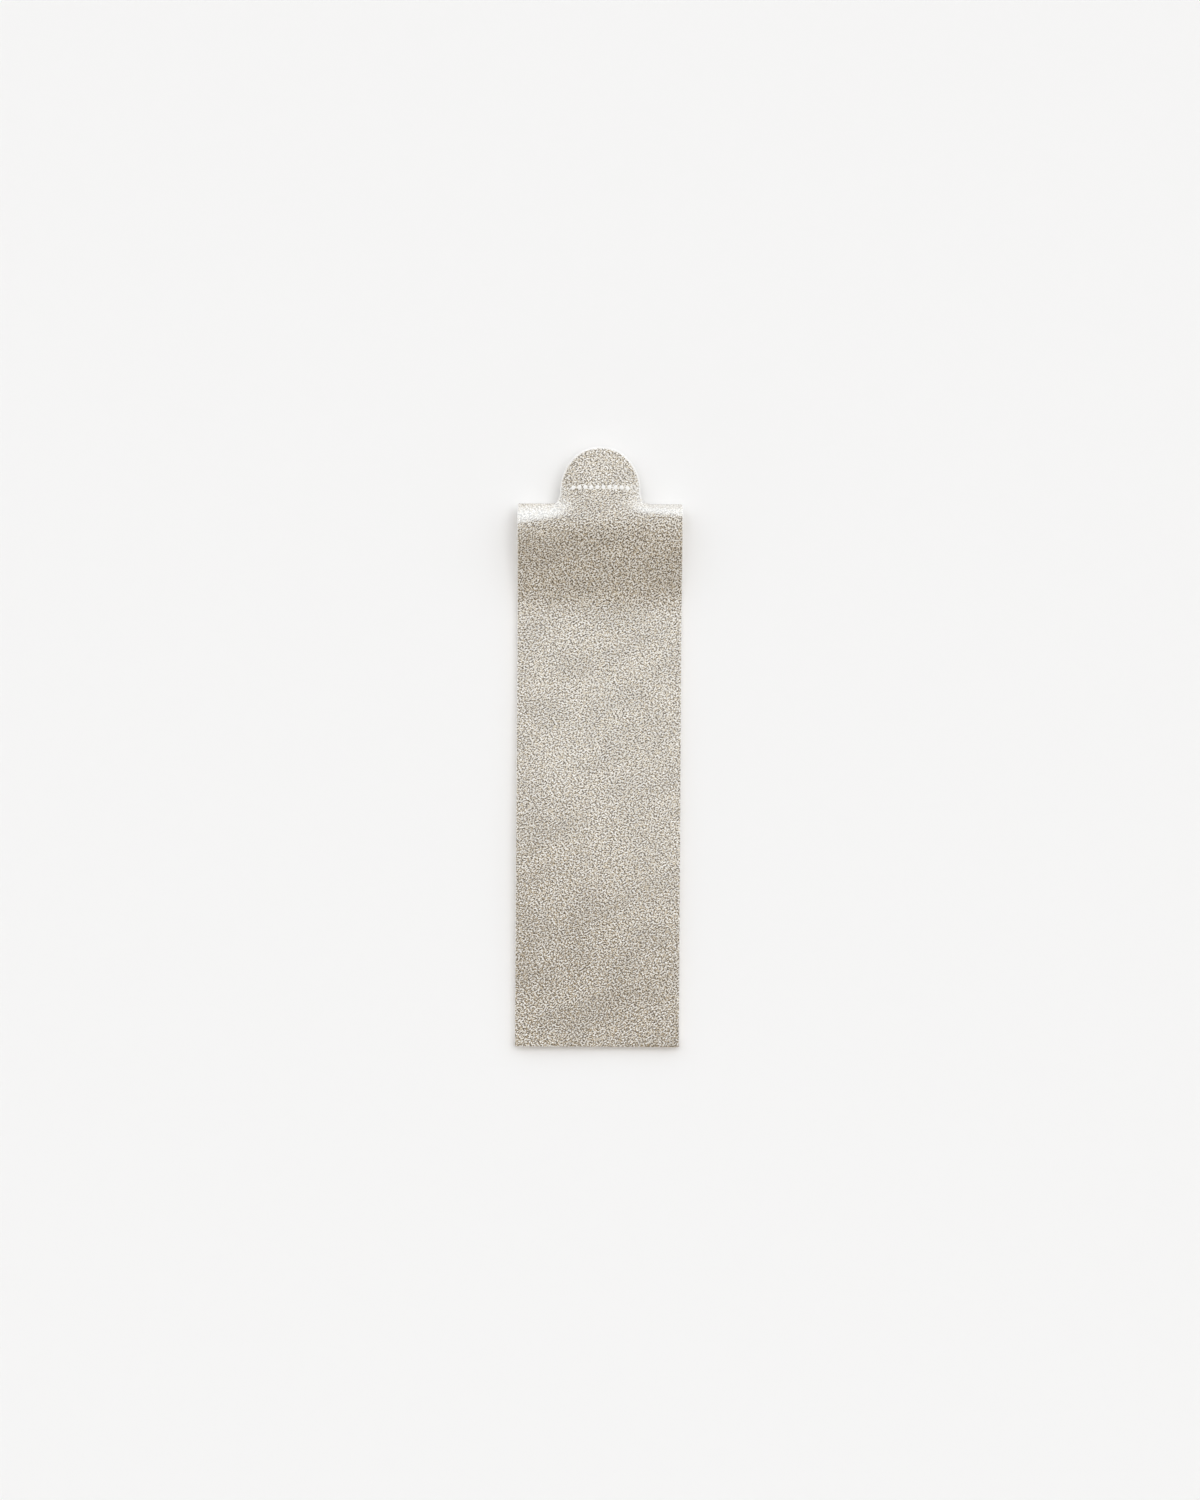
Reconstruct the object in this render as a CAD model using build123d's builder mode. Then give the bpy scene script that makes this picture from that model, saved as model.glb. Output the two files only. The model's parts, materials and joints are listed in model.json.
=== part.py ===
from build123d import *
import math
import os

# A folded leather bookmark: one die-cut strip of leather with a metallic film on its outer side.
# The back leaf lies on z = 0, the front leaf lies on it, and the fold is a soft roll at the +Y end.
# A round tab, cut out of the back leaf, stays level with the top of the fold and points along +Y.
# The roll beside the tab is divided into narrow strips that turn on each other, so that the fold
# can be opened until the bookmark is flat and the tab is back in the window that it was cut from.
# The origin is the centre of the footprint, X is the width and Y the length. Sizes are millimetres.

# Strip
strip_width = 40.0
leather_thickness = 0.9
film_thickness = 0.1
front_leaf_length = 132.0  # from the outside of the fold to the free end
back_leaf_setback = 1.5  # how much earlier the back leaf ends
corner_radius = 0.5  # rounding of the four free corners
leaf_gap = 0.2  # air between the leaves where they lie together

# Fold
fold_radius = 3.5  # outside of the roll
runout_length = 24.0  # from the top of the fold to where the front leaf lies flat
bend_share = 0.75  # the two bends of the run-out, as a share of the largest that fit it
crest_share = 0.4  # the upper bend's part of that
roll_strips = ("lower_roll", "upper_roll")  # from the back leaf to the front leaf

# Tab
tab_width = 19.5
tab_projection = 13.5  # from the outside of the fold to the tip
root_projection = 3.2  # how far the stiff root of the tab stands out of the fold
knife_gap = 0.2  # the cut between the tab and the leather round it
flex_gap = 0.05  # between the root and the part of the tab that flexes

# Places along the strip
strip_thickness = leather_thickness + film_thickness
apex_y = (front_leaf_length - tab_projection) / 2
free_end_y = apex_y - front_leaf_length
back_end_y = free_end_y + back_leaf_setback
fold_y = apex_y - fold_radius
fold_height = 2 * fold_radius

# The roll turns by half a circle. Each leaf holds half a step of it, and each strip a whole step.
roll_step = 180 / (len(roll_strips) + 1)
roll_stub = roll_step / 2
roll_inner_x = tab_width / 2 + knife_gap
roll_width = strip_width / 2 - roll_inner_x
sides = {"left": -1, "right": 1}

# The run-out falls by run_drop over runout_length: a crest, a straight slope and a dip.
run_drop = fold_height - 2 * strip_thickness - leaf_gap
run_square = runout_length**2 + run_drop**2
bend_sum = bend_share * run_square / (2 * run_drop)
crest_radius = crest_share * bend_sum
dip_radius = bend_sum - crest_radius
slope_length = math.sqrt((1 - bend_share) * run_square)
slope_turn = math.atan2(bend_sum, slope_length) - math.atan2(bend_sum - run_drop, runout_length)
slope_angle = math.degrees(slope_turn)

# Opened flat, the roll is as long as the straight lines between its hinge lines. The tab's round
# end then lies in the back leaf, which gives the centre of the window there.
flat_roll_length = 2 * (len(roll_strips) + 1) * fold_radius * math.sin(math.radians(roll_stub))
tab_reach = fold_radius + tab_projection
arch_reach = tab_reach - tab_width / 2
arch_y = fold_y + arch_reach
window_y = fold_y + flat_roll_length - arch_reach

# The tab flexes about a line at mid leather, just past its stiff root.
root_end_y = apex_y + root_projection
flex_y = root_end_y + flex_gap + leather_thickness / 2
tab_tip_y = apex_y + tab_projection
tab_floor = fold_height - strip_thickness

# Depths below the metal face that bound the two layers of the strip.
layers = {"": (film_thickness, strip_thickness), "_film": (0, film_thickness)}


def draw_front_line(depth):
    """Draw the front leaf's line at a depth below its metal face, from the fold to its free end."""
    crest = JernArc((fold_y, fold_height - depth), (-1, 0), crest_radius - depth, slope_angle)
    slope = PolarLine(crest @ 1, slope_length, direction=crest % 1)
    dip = JernArc(slope @ 1, slope % 1, dip_radius + depth, -slope_angle)
    flat = Line(dip @ 1, (free_end_y, (dip @ 1).Y))
    return crest @ 0, flat @ 1


def draw_back_line(depth):
    """Draw the back leaf's line at a depth above its metal face, from its free end to its hinge line."""
    flat = Line((back_end_y, depth), (fold_y, depth))
    stub = JernArc(flat @ 1, (1, 0), fold_radius - depth, roll_stub)
    return flat @ 0, stub @ 1


def draw_roll_line(depth, start, turn):
    """Draw the roll's line at a depth below its metal face. Start counts degrees up from the back leaf."""
    roll = CenterArc((fold_y, fold_radius), fold_radius - depth, start - 90, turn)
    return roll @ 0, roll @ 1


def draw_layer(draw_line, depths, *place):
    """Draw the closed section of one layer, between the lines at its two depths."""
    outer, inner = depths
    outer_ends = draw_line(outer, *place)
    inner_ends = draw_line(inner, *place)
    Line(outer_ends[0], inner_ends[0])
    Line(outer_ends[1], inner_ends[1])


def draw_tab_outline():
    """Draw the tab's outline from the top of the fold to its round tip."""
    right = Line((tab_width / 2, fold_y), (tab_width / 2, arch_y))
    arch = ThreePointArc(right @ 1, (0, tab_tip_y), (-tab_width / 2, arch_y))
    Polyline(arch @ 1, (-tab_width / 2, fold_y), right @ 0)


def make_front_leaf(depths):
    """Make one layer of the front leaf, with its part of the roll and the stiff root of the tab."""
    outer, inner = depths
    with BuildPart() as front_leaf:
        with BuildSketch(Plane.YZ):
            with BuildLine():
                draw_layer(draw_front_line, depths)
            make_face()
        extrude(amount=strip_width / 2, both=True)
        free_corners = front_leaf.edges().filter_by(Axis.Z).group_by(Axis.Y)[0]
        fillet(free_corners, corner_radius)
        with BuildSketch(Plane.XY.offset(fold_height - inner)):
            with BuildLine():
                draw_tab_outline()
            make_face()
            split(bisect_by=Plane.XZ.offset(-root_end_y), keep=Keep.TOP)
        extrude(amount=inner - outer)
        for side in sides.values():
            with BuildSketch(Plane.YZ.offset(side * roll_inner_x)):
                with BuildLine():
                    draw_layer(draw_roll_line, depths, 180 - roll_stub, roll_stub)
                make_face()
            extrude(amount=side * roll_width)
    return front_leaf.part


def make_back_leaf(depths):
    """Make one layer of the back leaf, with its part of the roll and the window that the tab left."""
    with BuildPart() as back_leaf:
        with BuildSketch(Plane.YZ):
            with BuildLine():
                draw_layer(draw_back_line, depths)
            make_face()
        extrude(amount=strip_width / 2, both=True)
        free_corners = back_leaf.edges().filter_by(Axis.Z).group_by(Axis.Y)[0]
        fillet(free_corners, corner_radius)
        with BuildSketch(Plane.XY):
            with Locations((0, window_y)):
                Circle(tab_width / 2 + knife_gap)
        extrude(amount=fold_height, mode=Mode.SUBTRACT)
    return back_leaf.part


def make_roll_strip(depths, index, side):
    """Make one layer of one strip of the roll. Side is -1 on the left of the tab and 1 on the right."""
    with BuildPart() as roll_strip:
        with BuildSketch(Plane.YZ.offset(side * roll_inner_x)):
            with BuildLine():
                draw_layer(draw_roll_line, depths, roll_stub + index * roll_step, roll_step)
            make_face()
        extrude(amount=side * roll_width)
    return roll_strip.part


def make_tab():
    """Make the leather of the flexing tab, with a round root on the flex line."""
    with BuildPart() as tab:
        with BuildSketch(Plane.YZ):
            with BuildLine():
                tab_roof = tab_floor + leather_thickness
                top = Line((tab_tip_y, tab_roof), (flex_y, tab_roof))
                root = JernArc(top @ 1, (-1, 0), leather_thickness / 2, 180)
                Polyline(root @ 1, (tab_tip_y, tab_floor), top @ 0)
            make_face()
        extrude(amount=tab_width / 2, both=True)
        with BuildSketch(Plane.XY):
            with BuildLine():
                draw_tab_outline()
            make_face()
        extrude(amount=fold_height, mode=Mode.INTERSECT)
    return tab.part


def make_tab_film():
    """Make the metal film of the flexing tab, which starts over the flex line."""
    with BuildPart() as tab_film:
        with BuildSketch(Plane.XY.offset(fold_height - film_thickness)):
            with BuildLine():
                draw_tab_outline()
            make_face()
            split(bisect_by=Plane.XZ.offset(-flex_y), keep=Keep.BOTTOM)
        extrude(amount=film_thickness)
    return tab_film.part


nodes = {"tab": make_tab(), "tab_film": make_tab_film()}
for ending, depths in layers.items():
    nodes[f"front_leaf{ending}"] = make_front_leaf(depths)
    nodes[f"back_leaf{ending}"] = make_back_leaf(depths)
    for side_name, side in sides.items():
        for index, strip_name in enumerate(roll_strips):
            nodes[f"{side_name}_{strip_name}{ending}"] = make_roll_strip(depths, index, side)

os.makedirs("parts", exist_ok=True)
for name, part in nodes.items():
    part.label = name
    export_step(part, f"parts/{name}.step")
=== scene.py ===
"""A folded leather bookmark with a metallic face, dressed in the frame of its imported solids.

The bookmark is one die-cut strip. Every piece here is a stretch of that strip, so all of them are
bent out of the same flat pattern: u is a place across the strip, and s is the distance along its
metal face from the top of the fold, negative on the front leaf and positive past the fold.
Sizes are millimetres until a mesh is made, and metres from there on.
"""

import json
import logging
import math
from collections.abc import Callable, Iterable, Sequence
from dataclasses import dataclass
from enum import Enum

import bpy
import numpy as np
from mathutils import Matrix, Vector


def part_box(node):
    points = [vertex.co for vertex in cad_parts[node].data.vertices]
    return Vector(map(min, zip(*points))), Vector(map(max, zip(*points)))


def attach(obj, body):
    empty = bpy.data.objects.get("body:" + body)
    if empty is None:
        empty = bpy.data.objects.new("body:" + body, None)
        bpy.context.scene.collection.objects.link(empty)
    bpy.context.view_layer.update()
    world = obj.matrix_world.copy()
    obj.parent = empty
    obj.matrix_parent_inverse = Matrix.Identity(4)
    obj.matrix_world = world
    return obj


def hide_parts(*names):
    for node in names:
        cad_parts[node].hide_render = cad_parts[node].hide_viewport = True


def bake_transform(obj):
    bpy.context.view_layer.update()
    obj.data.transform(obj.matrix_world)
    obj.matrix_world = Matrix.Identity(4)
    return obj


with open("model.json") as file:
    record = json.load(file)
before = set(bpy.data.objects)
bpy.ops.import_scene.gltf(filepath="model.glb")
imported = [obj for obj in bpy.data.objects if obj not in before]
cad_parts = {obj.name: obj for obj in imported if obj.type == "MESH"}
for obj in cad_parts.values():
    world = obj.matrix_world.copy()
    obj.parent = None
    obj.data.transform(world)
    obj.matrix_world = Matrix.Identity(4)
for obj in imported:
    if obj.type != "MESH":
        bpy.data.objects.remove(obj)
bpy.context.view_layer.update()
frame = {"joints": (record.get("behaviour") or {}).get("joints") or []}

Color = tuple[float, float, float]
Span = tuple[float, float]
PointMap = Callable[[np.ndarray, np.ndarray], np.ndarray]

LOG = logging.getLogger("bookmark")
MM = 0.001  # a millimetre, in metres
TINY = 1e-12  # keeps the length of a face's normal from being zero
WELD_DIGITS = 5  # decimals to which the u and s of welded corners agree
WHOLE: Span = (0.0, 1.0)
MIX_SHARE, MIX_FIRST, MIX_SECOND, MIX_RESULT = 0, 6, 7, 2  # a mix node's sockets for colours


class Layer(Enum):
    """The two layers of the strip, by the endings of their pieces and nodes, and their slots."""

    FILM = ("_face", "_film", "metal_film")
    HIDE = ("_hide", "", "leather_core")


class Side(Enum):
    """The two sides of the strip, by the sign of u."""

    LEFT = -1
    RIGHT = 1


def smooth_step(value: np.ndarray, low: float, high: float) -> np.ndarray:
    """Rise smoothly from 0 at low to 1 at high."""
    t = np.clip((value - low) / (high - low), 0.0, 1.0)
    return t * t * (3.0 - 2.0 * t)


def spread(low: float, high: float, step: float) -> list[float]:
    """Divide a stretch evenly into places that are a step apart at most, with both ends."""
    return list(np.linspace(low, high, max(2, math.ceil((high - low) / step) + 1)))


def mirrored(half: list[float]) -> list[float]:
    """Repeat places that start in the middle of the strip on its other side."""
    return [-u for u in reversed(half[1:])] + half


def add_object(name: str, data: bpy.types.ID) -> bpy.types.Object:
    """Link a new object to the scene.

    Args:
        name: The object's name.
        data: Its mesh, lamp or camera.

    Returns:
        The object.
    """
    thing = bpy.data.objects.new(name, data)
    bpy.context.scene.collection.objects.link(thing)
    return thing


def smooth_mesh(
    name: str, points: np.ndarray, faces: Sequence[Sequence[int]], labels: dict[str, np.ndarray]
) -> bpy.types.Mesh:
    """Make a smooth mesh.

    Args:
        name: The mesh's name.
        points: Its corners, in millimetres.
        faces: Corners of each face.
        labels: Numbers or vectors that its finish reads at each corner, by their names.

    Returns:
        The mesh.
    """
    mesh = bpy.data.meshes.new(name)
    mesh.from_pydata((points * MM).tolist(), [], faces)
    mesh.polygons.foreach_set("use_smooth", [True] * len(faces))
    for label, values in labels.items():
        kind, key = ("FLOAT", "value") if values.ndim == 1 else ("FLOAT_VECTOR", "vector")
        attribute = mesh.attributes.new(label, kind, "POINT")
        attribute.data.foreach_set(key, values.astype(np.float32).ravel())
    return mesh


@dataclass(frozen=True)
class StripSizes:
    """Sizes and places of the strip, in millimetres."""

    width: float
    film: float
    thickness: float
    fold_radius: float
    fold_y: float
    lie_height: float  # the metal face where the front leaf lies flat
    free_end_y: float
    back_end_y: float
    tab_width: float
    tab_tip_y: float
    hinge_count: int
    runout_length: float = 24.0
    bend_share: float = 0.75
    crest_share: float = 0.4
    knife_gap: float = 0.2
    corner_radius: float = 0.5

    @classmethod
    def from_frame(cls) -> "StripSizes":
        """Read the sizes from the frame's boxes and joints.

        Returns:
            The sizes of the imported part.
        """
        front_low, front_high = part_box("front_leaf_film")
        tab_low, tab_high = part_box("tab")
        film_low, film_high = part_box("tab_film")
        back_low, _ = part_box("back_leaf_film")
        hinges = [joint for joint in frame["joints"] if joint["name"].startswith("fold")]
        middle = next(joint for joint in hinges if joint["name"] == "fold_middle")
        _, apex_y, radius = (value / MM for value in middle["pos_m"])
        film = (film_high.z - film_low.z) / MM
        return cls(
            width=(front_high.x - front_low.x) / MM,
            film=film,
            thickness=film + (tab_high.z - tab_low.z) / MM,
            fold_radius=radius,
            fold_y=apex_y - radius,
            lie_height=front_low.z / MM + film,
            free_end_y=front_low.y / MM,
            back_end_y=back_low.y / MM,
            tab_width=(film_high.x - film_low.x) / MM,
            tab_tip_y=film_high.y / MM,
            hinge_count=len(hinges),
        )

    @property
    def half_width(self) -> float:
        """Half of the strip's width."""
        return self.width / 2

    @property
    def half_tab(self) -> float:
        """Half of the tab's width, which is also the radius of its round end."""
        return self.tab_width / 2

    @property
    def roll_length(self) -> float:
        """Length of the metal face round the fold."""
        return math.pi * self.fold_radius

    @property
    def hinge_turn(self) -> float:
        """Angle of the roll that each hinge stands for."""
        return math.pi / self.hinge_count

    @property
    def arch_start(self) -> float:
        """Distance from the top of the fold to where the tab turns round."""
        return self.tab_tip_y - self.fold_y - self.half_tab

    @property
    def window_radius(self) -> float:
        """Radius of the window's round end."""
        return self.half_tab + self.knife_gap

    @property
    def window_y(self) -> float:
        """Centre of the window's round end, where the tab lies when the fold is open."""
        open_length = 2 * self.hinge_count * self.fold_radius * math.sin(self.hinge_turn / 2)
        return self.fold_y + open_length - self.arch_start

    def depths(self, layer: Layer) -> Span:
        """Depths of a layer's outer and inner face below the metal face."""
        return (0.0, self.film) if layer is Layer.FILM else (self.film, self.thickness)


@dataclass(frozen=True)
class StripShape:
    """Where each point of the flat strip lies at rest, and how it was handled."""

    sizes: StripSizes
    merge_inner: float = 4.5  # |u| where the level tab begins to turn into the roll
    merge_outer: float = 13.0  # |u| where the roll is whole
    cut_start: float = 3.5  # s where the cut between the tab and the roll comes open
    cut_relax: float = 6.6  # s where the roll's cut edge is back on the roll
    cut_fade: float = 2.0  # how fast the cut's effect fades where it isn't open
    droop_run: float = 0.7  # how fast the tab's bent edges turn level again
    flare_width: float = 1.8  # how much the cut turns outwards at its ends
    flare_length: float = 3.2
    least_wear: float = 0.25  # how much the long edges are handled, as a share of the tab's
    wear_run: float = 6.7  # s where the tab's wear is whole
    wear_margin: float = 0.1  # how far it goes past the tab's straight sides
    burnish_rise: Span = (-0.8, 0.8)  # s where the fold's polish and its painted highlight start and are whole
    burnish_fall: Span = (2.8, 5.0)  # s where it fades again
    burnish_tab: float = 4.5  # how much further it goes along the tab's sides
    ridge_slant: float = 1.0  # how much the fold's top line leans, so that it is tighter on the right
    ridge_middle: float = 0.72  # how much nearer to the tab that line is in the middle
    ridge_bow: float = 1.44  # how much it falls back towards the long edges
    ridge_run: float = 12.0  # how far down the front leaf all this fades
    bow_height: float = 0.8  # how far the front leaf stands off the back leaf, past its middle
    bow_peak: float = 90.0  # distance of that place from the top of the fold
    wave_height: float = 0.07  # gentle waves in the front leaf
    wave_run: float = 26.0  # how far from the fold they reach their height
    waves: tuple[tuple[float, float, float, float], ...] = (
        (1.0, 0.05, 0.115, 0.6),  # share of the height, turn across and along, and start in radians
        (0.7, -0.16, 0.071, 2.1),
        (0.5, 0.23, 0.19, 4.0),
    )
    crease_height: float = 0.09  # a short crease at the left edge, where the leaf comes to lie flat
    crease_place: float = 20.8
    crease_slant: float = 0.12
    crease_width: float = 0.45
    crease_fade: Span = (1.26, 4.2)  # distances from the left edge where it fades

    def leaf_line(self, run: np.ndarray) -> tuple[np.ndarray, np.ndarray]:
        """Follow the front leaf down from the top of the fold.

        Args:
            run: Distances along the metal face.

        Returns:
            The y and z of each place.
        """
        sizes = self.sizes
        drop = 2 * sizes.fold_radius - sizes.lie_height
        square = sizes.runout_length**2 + drop**2
        bends = sizes.bend_share * square / (2 * drop)
        crest = sizes.crest_share * bends
        dip = bends - crest
        slope = math.sqrt((1 - sizes.bend_share) * square)
        turn = math.atan2(bends, slope) - math.atan2(bends - drop, sizes.runout_length)

        on_crest = np.clip(run / crest, 0, turn)
        on_slope = np.clip(run - crest * turn, 0, slope)
        on_dip = turn - np.clip((run - crest * turn - slope) / dip, 0, turn)
        on_flat = np.maximum(run - (crest + dip) * turn - slope, 0)
        forward = crest * np.sin(on_crest) + on_slope * math.cos(turn)
        forward += dip * (math.sin(turn) - np.sin(on_dip)) + on_flat
        down = crest * (1 - np.cos(on_crest)) + on_slope * math.sin(turn)
        down += dip * (np.cos(on_dip) - math.cos(turn))
        return sizes.fold_y - forward, 2 * sizes.fold_radius - down

    def leaf_length(self) -> float:
        """Length of the front leaf's metal face, from the top of the fold to the free end."""
        past_runout = 2 * self.sizes.runout_length
        return past_runout + self.leaf_line(np.array([past_runout]))[0][0] - self.sizes.free_end_y

    def roll_share(self, u: np.ndarray) -> np.ndarray:
        """Share of the roll's bend that the strip takes at each place across it."""
        return smooth_step(np.abs(u), self.merge_inner, self.merge_outer)

    def roll_offset(self, s: np.ndarray) -> tuple[np.ndarray, np.ndarray]:
        """How far the roll has left the level of the tab, in y and z."""
        radius = self.sizes.fold_radius
        return radius * np.sin(s / radius) - s, radius * np.cos(s / radius) - radius

    def relief(self, u: np.ndarray, run: np.ndarray) -> np.ndarray:
        """Give the front leaf its slight bow, its soft waves and the short crease at its left edge.

        Args:
            u: Places across the strip.
            run: Distances from the top of the fold.

        Returns:
            The heights to add.
        """
        height = sum(
            share * np.sin(across * u + along * run + start)
            for share, across, along, start in self.waves
        )
        height *= self.wave_height * smooth_step(run, 0.0, self.wave_run)
        end = self.leaf_length()
        rising = (run - self.wave_run) / (self.bow_peak - self.wave_run)
        falling = (end - run) / (end - self.bow_peak)
        share = np.clip(np.minimum(rising, falling), 0, 1)
        height += self.bow_height * (0.5 - 0.5 * np.cos(np.pi * share))
        inward = u + self.sizes.half_width
        off = (run - self.crease_place - self.crease_slant * inward) / self.crease_width
        crease = np.exp(-(off**2)) * (1.0 - smooth_step(inward, *self.crease_fade))
        return height - self.crease_height * crease

    def ridge_shift(self, u: np.ndarray, s: np.ndarray) -> np.ndarray:
        """Move the fold's top line, so that the fold is softer on the left and tighter on the right.

        Args:
            u: Places across the strip.
            s: Distances past the top of the fold.

        Returns:
            The shifts in y.
        """
        quarter = self.sizes.roll_length / 2
        away = np.where(s > 0, s / quarter, -s / self.ridge_run)
        fade = 0.5 + 0.5 * np.cos(np.pi * np.clip(away, 0, 1))
        across = u / self.sizes.half_width
        return (self.ridge_slant * across + self.ridge_middle - self.ridge_bow * across**2) * fade

    def front_map(self, u: np.ndarray, s: np.ndarray) -> np.ndarray:
        """Place points of the front leaf and of the tab.

        Args:
            u: Places across the strip.
            s: Distances past the top of the fold.

        Returns:
            One row of x, y and z for each point of the metal face.
        """
        run, past = np.maximum(-s, 0), np.maximum(s, 0)
        y, z = self.leaf_line(run)
        bent_y, bent_z = self.roll_offset(np.minimum(past, self.cut_start))
        start_angle = self.cut_start / self.sizes.fold_radius
        beyond = np.maximum(past - self.cut_start, 0)
        carry = self.droop_run * (1 - np.exp(-beyond / self.droop_run))
        share = self.roll_share(u)
        y = y + past + share * (bent_y + carry * (math.cos(start_angle) - 1))
        z = z + share * (bent_z - carry * math.sin(start_angle)) + self.relief(u, run)
        return np.column_stack([u, y + self.ridge_shift(u, s), z])

    def back_map(self, u: np.ndarray, s: np.ndarray) -> np.ndarray:
        """Place points of the roll beside the tab and of the back leaf.

        Args:
            u: Places across the strip.
            s: Distances past the top of the fold.

        Returns:
            One row of x, y and z for each point of the metal face.
        """
        run = np.maximum(-s, 0)
        y, z = self.leaf_line(run)
        round_roll = np.clip(s, 0, self.sizes.roll_length)
        bent_y, bent_z = self.roll_offset(round_roll)
        share = self.roll_share(u)
        share = share + (1 - share) * smooth_step(s, self.cut_start, self.cut_relax)
        beyond = np.maximum(s - self.sizes.roll_length, 0)
        y = y + round_roll + share * bent_y - beyond
        z = z + share * bent_z + self.relief(u, run)
        return np.column_stack([u, y + self.ridge_shift(u, s), z])

    def wear(self, u: np.ndarray, s: np.ndarray) -> np.ndarray:
        """How much each place is handled: most on the tab, least at the free ends."""
        on_tab = smooth_step(s, 0, self.wear_run) * (np.abs(u) < self.sizes.half_tab + self.wear_margin)
        return self.least_wear + (1 - self.least_wear) * on_tab

    def burnish(self, u: np.ndarray, s: np.ndarray) -> np.ndarray:
        """Tell how much the film is polished where it turns over the fold, and painted paler there as a
        painted highlight.

        Args:
            u: Places across the strip.
            s: Distances past the top of the fold.

        Returns:
            The share of the full polish and painted highlight at each place.
        """
        on_tab = np.abs(u) < self.sizes.half_tab + self.flare(s) + self.sizes.knife_gap / 2
        fall = np.where(on_tab, s - self.burnish_tab, s)
        over = smooth_step(s, *self.burnish_rise) * (1 - smooth_step(fall, *self.burnish_fall))
        return over * self.roll_share(u)

    def flare(self, s: np.ndarray) -> np.ndarray:
        """How much further out the tab's side is at its root than along its straight part."""
        rest = np.clip(1 - (s - self.cut_start) / self.flare_length, 0, 1) ** 2
        return self.flare_width * np.where(s < self.cut_start, smooth_step(s, 0, self.cut_start), rest)

    def flared(self, u: np.ndarray, s: np.ndarray) -> np.ndarray:
        """Spread places across a straight-sided tab over the flared one."""
        share = smooth_step(np.abs(u), self.merge_inner, self.sizes.half_tab)
        return u + np.sign(u) * self.flare(s) * share

    def before_cut(self, s: np.ndarray) -> np.ndarray:
        """What to add to the distance from the cut where it isn't open yet."""
        return self.cut_fade * (self.cut_start - s).clip(0)

    def cut_edge(self, s: np.ndarray) -> np.ndarray:
        """Place the roll's edge along the cut that frees the tab.

        Args:
            s: Distances past the top of the fold.

        Returns:
            The distance of the edge from the middle of the strip.
        """
        sizes = self.sizes
        open_share = smooth_step(s, self.cut_start, self.cut_relax)
        straight = sizes.half_tab + self.flare(s) + sizes.knife_gap * open_share
        past_y = sizes.roll_length - s
        below = np.clip(sizes.window_y - sizes.fold_y - past_y, 0, sizes.window_radius)
        arch = np.sqrt(sizes.window_radius**2 - below**2)
        return np.where(below > 0, np.minimum(arch, straight), straight)


@dataclass
class Patch:
    """A stretch of the flat strip, divided into four-sided faces."""

    nodes: np.ndarray  # u and s of each corner
    faces: list[tuple[int, int, int, int]]

    @classmethod
    def from_rows(cls, rows: Sequence[Sequence[Span]]) -> "Patch":
        """Join rows of points, each with the same number of them.

        Args:
            rows: Rows in the order of s, each in the order of u.

        Returns:
            The patch between the first and the last row.
        """
        across = len(rows[0])
        faces = []
        for row in range(len(rows) - 1):
            for column in range(across - 1):
                corner = row * across + column
                faces.append((corner, corner + 1, corner + across + 1, corner + across))
        return cls(np.array([point for row in rows for point in row], float), faces)

    @classmethod
    def merged(cls, patches: Sequence["Patch"]) -> "Patch":
        """Join patches, and weld the corners that lie on each other.

        Args:
            patches: The patches to join.

        Returns:
            One patch.
        """
        index: dict[tuple[float, ...], int] = {}
        nodes: list[np.ndarray] = []
        faces = []
        for patch in patches:
            place = []
            for node in patch.nodes:
                key = tuple(round(float(value), WELD_DIGITS) for value in node)
                if key not in index:
                    index[key] = len(nodes)
                    nodes.append(node)
                place.append(index[key])
            faces.extend(tuple(place[corner] for corner in face) for face in patch.faces)
        return cls(np.array(nodes), faces)

    def round_corners(self, half_width: float, end: float, inward: int, radius: float) -> None:
        """Round the two corners at a free end.

        Args:
            half_width: Distance of the long edges from the middle.
            end: The s of the free end.
            inward: The sign of s from the free end into the strip.
            radius: Radius of the corners.
        """
        u, s = self.nodes.T
        p = np.clip((np.abs(u) - half_width + radius) / radius, 0, 1)
        q = np.clip(((end - s) * inward + radius) / radius, 0, 1)
        inside = (p > 0) & (q > 0)
        round_u = half_width - radius + radius * p * np.sqrt(1 - q**2 / 2)
        round_s = end - inward * (radius * q * np.sqrt(1 - p**2 / 2) - radius)
        self.nodes[:, 0] = np.where(inside, np.sign(u) * round_u, u)
        self.nodes[:, 1] = np.where(inside, round_s, s)

    def rim(self) -> list[tuple[int, int]]:
        """Find the edges that only one face has, in that face's direction."""
        edges = {(face[k], face[(k + 1) % 4]) for face in self.faces for k in range(4)}
        return [edge for edge in edges if (edge[1], edge[0]) not in edges]


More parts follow.
